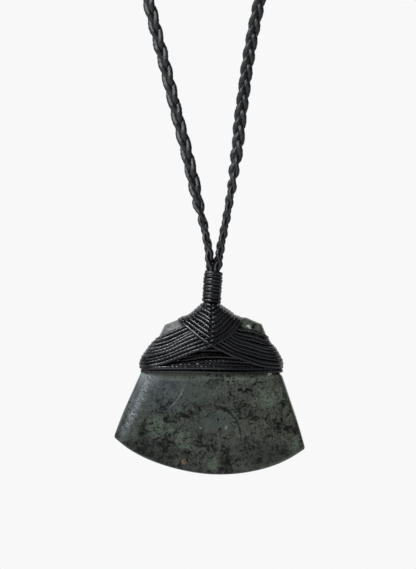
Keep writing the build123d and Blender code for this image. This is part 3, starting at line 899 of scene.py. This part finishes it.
# Neck whipping
NECK_TURNS, NECK_POINTS, NECK_START = 9.2, 900, 2.2  # the last is the angle at which they start
NECK_RADIUS, NECK_THREAD, NECK_FLATNESS = 2.02, 0.5, 0.78
NECK_SHIFT = 0.15  # the cords under the whipping are not quite centred
NECK_TUCK, NECK_TUCK_SHARE = 0.9, 0.03
NECK_TOP, NECK_INSET = 0.35, 0.2  # the first turn's drop, and what the winding lacks of the neck's height
NECK_WAVE, NECK_DRIFT = 0.05, 0.06  # how far the turns stray outwards and up or down


def build_neck():
    share = np.linspace(0, 1, NECK_POINTS)
    angle = 2 * math.pi * NECK_TURNS * share + NECK_START
    radius = NECK_RADIUS - NECK_TUCK * at_ends(share, NECK_TUCK_SHARE)
    radius = radius + NECK_WAVE * np.sin(angle * 0.37 + 1)
    drop = NECK_TOP + share * (NECK_HEIGHT - NECK_INSET) + NECK_DRIFT * np.sin(angle * 0.5)
    line = MOUTH - NECK_UP * drop[:, None] + NECK_RIGHT * (NECK_SHIFT + radius * np.cos(angle))[:, None]
    line = even(line + np.array([0, 1, 0]) * (radius * np.sin(angle))[:, None], THREAD_STEP)
    out = line - MOUTH
    out -= (out @ NECK_UP)[:, None] * NECK_UP
    neck = Threads()
    neck.add(line, NECK_THREAD, wide=unit(out), widen=NECK_FLATNESS)
    return neck.piece("neck_thread", thread_look, "waxed_thread", "neck_whipping")


neck_piece = build_neck()

# Plait
STRAND, STRAND_WIDEN, STRAND_LAY, STRAND_STEP, STRAND_PASSES = 0.56, 1.46, 3.4, 0.25, 3
CORD_POINTS, END_POINTS, END_SHARE = 12000, 160, 0.02  # the last is a strand's share in the neck
ROW_SPACING = 1.06  # of the three strands side by side in the neck
NECK_DROPS = (2, 5, NECK_HEIGHT - 0.1)  # of a strand's points in the neck
MIDDLE_ROW, MIDDLE_TAIL = 0.3, 2.6  # a strand this near the middle plane has a straight tail
PLAIT_REACH, PLAIT_LIFT = 0.88, 0.528  # how far a strand swings across the flat plait and out of it
NECK_LIFT, NECK_LIFT_OVER = 0.168, 10  # added to the lift at the neck, fading over this length
LOOSENESS = ((0.05, 0.21, 2), (0.04, 0.083, 1))  # waves in the reach: share, rate and shift by strand
WOVEN_FROM, WOVEN_OVER = -2, 3  # lengths from the neck over which the three rows become a plait
NECK_AXIS_DEPTH = 62
# Where each leg, left and right, begins to turn its flat side to the front, and over what length
TWIST, TWIST_ANGLE = ((8, 18), (16, 26)), math.radians(86)
# The left leg is plaited more loosely than the right one
LOOSE_PITCH, MIDDLE_PITCH, TIGHT_PITCH = 14.2, 12.5, 11.6
LEG, LEG_CHANGE = 90, 140  # lengths from the neck between which a leg's pitch becomes the middle one
LEG_OFFSET = 0.8  # from the neck's middle to each leg's, at its mouth
JOIN_LENGTH, JOIN_DIAMETER, JOIN_BORE = 16, 5.2, 3.5
LEFT_LEG = [
    (1.3, -130, -245), (-0.15, -130, -237.5), (-3.9, -130, -221.5), (-8.9, -130, -201.5),
    (-13.9, -130, -181.5),
]
RIGHT_LEG = [
    (3.85, -130, -245), (5.3, -130, -237.5), (7.9, -130, -221.5), (10.3, -130, -201.5),
    (13.9, -130, -181.5),
]
COLLAR = [
    (25.5, -129.5, -136), (40, -121, -89), (54, -95, -51), (60.5, -58, -25),
    (46.5, -20, -8),
]
NAPE = (0, JOIN_DIAMETER / 2, 0)
route = [
    MOUTH + NECK_RIGHT * (NECK_SHIFT - LEG_OFFSET),
    *LEFT_LEG,
    *[(-x, y, z) for x, y, z in COLLAR],
    NAPE,
    *reversed(COLLAR),
    *reversed(RIGHT_LEG),
    MOUTH + NECK_RIGHT * (NECK_SHIFT + LEG_OFFSET),
]
cord = smooth_line(route, CORD_POINTS)
cord_along = lengths_along(cord)
cord_length = cord_along[-1]
cord_ahead = unit(np.gradient(cord, axis=0))
places = [LEG, LEG_CHANGE, cord_length - LEG_CHANGE, cord_length - LEG]
pitch = np.interp(cord_along, places, [LOOSE_PITCH, MIDDLE_PITCH, MIDDLE_PITCH, TIGHT_PITCH])
repeats = np.concatenate([[0], np.cumsum(np.diff(cord_along) / pitch[1:])])
repeats *= round(repeats[-1]) / repeats[-1]


def cord_frame(along):
    """Middle, direction, outward side and length from the neck, at lengths along the flat plait."""
    spot = read_along(along, cord_along, cord)
    ahead = unit(read_along(along, cord_along, cord_ahead))
    outward = spot - np.array([0, -NECK_AXIS_DEPTH, 0])
    outward[:, 2] = 0
    outward = unit(outward - ahead * (outward * ahead).sum(1, keepdims=True))
    from_neck = np.minimum(along, cord_length - along)
    start, length = np.where((along < cord_length / 2)[:, None], *TWIST).T
    turn = (TWIST_ANGLE * (1 - ease((from_neck - start) / length)))[:, None]
    outward = outward * np.cos(turn) + np.cross(ahead, outward) * np.sin(turn)
    return spot, ahead, outward, from_neck


def strand_end(end, hand):
    """A strand's line through the neck and under the lashing, in the cord's direction."""
    spots = [end - NECK_UP * drop for drop in NECK_DROPS]
    forward = MOUTH[1] - spots[-1][1]
    if abs(forward) < MIDDLE_ROW:
        spots.append(spots[-1] - np.array([0, 0, MIDDLE_TAIL]))
    else:
        spots.extend(from_lashing([(hand * u, v, h * math.copysign(1, forward)) for u, v, h in TAIL[1:]]))
    return smooth_line(spots[::hand], END_POINTS)


def strand_line(number):
    """A strand's middle line and the direction across the flat plait, all along it."""
    along = np.arange(0, cord_length, STRAND_STEP)
    spot, ahead, outward, from_neck = cord_frame(along)
    row = (0, 1, -1)[number]
    woven = np.clip((from_neck - WOVEN_FROM) / WOVEN_OVER, 0, 1)
    angle = 2 * math.pi * np.interp(along, cord_along, repeats) + math.radians(120 * number)
    loose = 1 + sum(share * np.sin(along * rate + number * shift) for share, rate, shift in LOOSENESS)
    reach = (1 - woven) * row * ROW_SPACING + woven * PLAIT_REACH * np.sin(angle) * loose
    lift = PLAIT_LIFT + NECK_LIFT * (1 - ease(from_neck / NECK_LIFT_OVER))
    lift = woven * lift * np.sin(2 * angle)
    line = spot + np.cross(ahead, outward) * reach[:, None] + outward * lift[:, None]
    line = np.vstack([strand_end(line[0], -1), line, strand_end(line[-1], 1)])
    line = even(relax(line, STRAND_PASSES), STRAND_STEP)
    ends = [0, END_SHARE, 1 - END_SHARE, 1]
    nearest = np.interp(np.linspace(0, 1, len(line)), ends, [0, 0, 1, 1]) * cord_length
    _, _, outward, _ = cord_frame(nearest)
    return line, unit(np.cross(unit(np.gradient(line, axis=0)), outward))


def build_strand(number):
    line, wide = strand_line(number)
    strand = Threads()
    strand.add(line, STRAND, lay=STRAND_LAY, wide=wide, widen=STRAND_WIDEN, radii=SOFT_RADII)
    name = f"plait_thread_{number + 1}"
    return strand.piece(name, plait_look, "plait_thread", f"plait_strand_{number + 1}")


plait_pieces = [build_strand(number) for number in range(3)]

# Whipping over the join at the nape
JOIN_TURNS, JOIN_POINTS, JOIN_THREAD, JOIN_LAY, JOIN_STEP = 18, 2600, 0.43, 2.2, 0.22
JOIN_INSET, JOIN_TUCK, JOIN_TUCK_SHARE = 0.9, 0.35, 0.015


def build_join():
    middle = cord_along[np.argmin(np.linalg.norm(cord - np.array(NAPE), axis=1))]
    share = np.linspace(0, 1, JOIN_POINTS)
    spot, ahead, outward, _ = cord_frame(middle + (share - 0.5) * (JOIN_LENGTH - JOIN_INSET))
    angle = 2 * math.pi * JOIN_TURNS * share
    radius = (JOIN_DIAMETER + JOIN_BORE) / 4 - JOIN_TUCK * at_ends(share, JOIN_TUCK_SHARE)
    line = spot + outward * (radius * np.cos(angle))[:, None]
    line = line + np.cross(ahead, outward) * (radius * np.sin(angle))[:, None]
    join = Threads()
    join.add(even(line, JOIN_STEP), JOIN_THREAD, lay=JOIN_LAY)
    return join.piece("join_thread", thread_look, "waxed_thread", "back_join")


join_piece = build_join()

for piece in (blade, *lashing_pieces, neck_piece, *plait_pieces, join_piece):
    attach(piece, "root")

# Floor
FLOOR_RADIUS, FLOOR_SIDES = 1, 96
FLOOR_MIDDLE, FLOOR_HEIGHT = -0.1, -0.42  # metres, as all lengths from here on
around = np.linspace(0, 2 * math.pi, FLOOR_SIDES, endpoint=False)
rim = FLOOR_RADIUS * np.stack([np.cos(around), np.sin(around), 0 * around], 1)
rim += (0, FLOOR_MIDDLE, FLOOR_HEIGHT)
floor_mesh = bpy.data.meshes.new("floor")
floor_mesh.from_pydata(rim.tolist(), [], [list(range(FLOOR_SIDES))])
floor = add_object("floor", floor_mesh)
pale = Shader("floor_paint")
pale.set("Base Color", (0.82, 0.82, 0.82))
pale.set("Roughness", 0.9)
floor_mesh.materials.append(pale.material)

# Studio, brighter as a backdrop than as a light
STUDIO_COLOR = (0.939, 0.939, 0.942, 1)
LIGHT_STRENGTH, BACKDROP_STRENGTH = 0.13, 1
world = bpy.data.worlds.new("studio")
world.use_nodes = True
nodes, links = world.node_tree.nodes, world.node_tree.links
background = nodes["Background"]
background.inputs["Color"].default_value = STUDIO_COLOR
rays = nodes.new("ShaderNodeLightPath")
level = nodes.new("ShaderNodeMapRange")
level.inputs["To Min"].default_value = LIGHT_STRENGTH
level.inputs["To Max"].default_value = BACKDROP_STRENGTH
links.new(rays.outputs["Is Camera Ray"], level.inputs["Value"])
links.new(level.outputs["Result"], background.inputs["Strength"])
bpy.context.scene.world = world
bpy.context.scene.view_settings.view_transform = "Standard"

# Lights, which face the pendant
PENDANT = np.array([1, -130, -275]) * MM


def soft_light(name, offset, size, power, color=(1, 1, 1)):
    lamp = bpy.data.lights.new(name, "AREA")
    lamp.color = color
    lamp.shape, (lamp.size, lamp.size_y), lamp.energy = "RECTANGLE", size, power
    holder = add_object(name, lamp)
    holder.location = PENDANT + np.array(offset)
    holder.visible_camera = False
    holder.rotation_mode = "QUATERNION"
    holder.rotation_quaternion = Vector([-x for x in offset]).to_track_quat("-Z", "Y")


soft_light("window", (-0.84, -0.34, 0.42), (0.5, 0.5), 6, (0.93, 0.96, 1.0))
soft_light("key", (-0.40, -0.66, 0.64), (0.26, 0.26), 11, (0.96, 0.98, 1.0))
soft_light("backdrop", (0.0, 0.9, 0.1), (2.4, 1.8), 18)

# Camera, level with the middle of the photo
PHOTO_WIDTH, PHOTO_HEIGHT, PIXEL = 416, 569, 0.25 * MM
ZERO_PIXEL, MOUTH_PIXEL = 204, 270  # where X is 0, from the left, and the neck's mouth, from the top
CAMERA_DISTANCE, SENSOR = 0.9, 36
camera_data = bpy.data.cameras.new("camera")
camera_data.sensor_width = SENSOR
camera_data.lens = SENSOR * CAMERA_DISTANCE / (PHOTO_HEIGHT * PIXEL)
camera = add_object("camera", camera_data)
camera.location = (
    (PHOTO_WIDTH / 2 - ZERO_PIXEL) * PIXEL,
    MOUTH[1] * MM - CAMERA_DISTANCE,
    MOUTH[2] * MM - (PHOTO_HEIGHT / 2 - MOUTH_PIXEL) * PIXEL,
)
camera.rotation_euler = (math.pi / 2, 0, 0)
bpy.context.scene.camera = camera
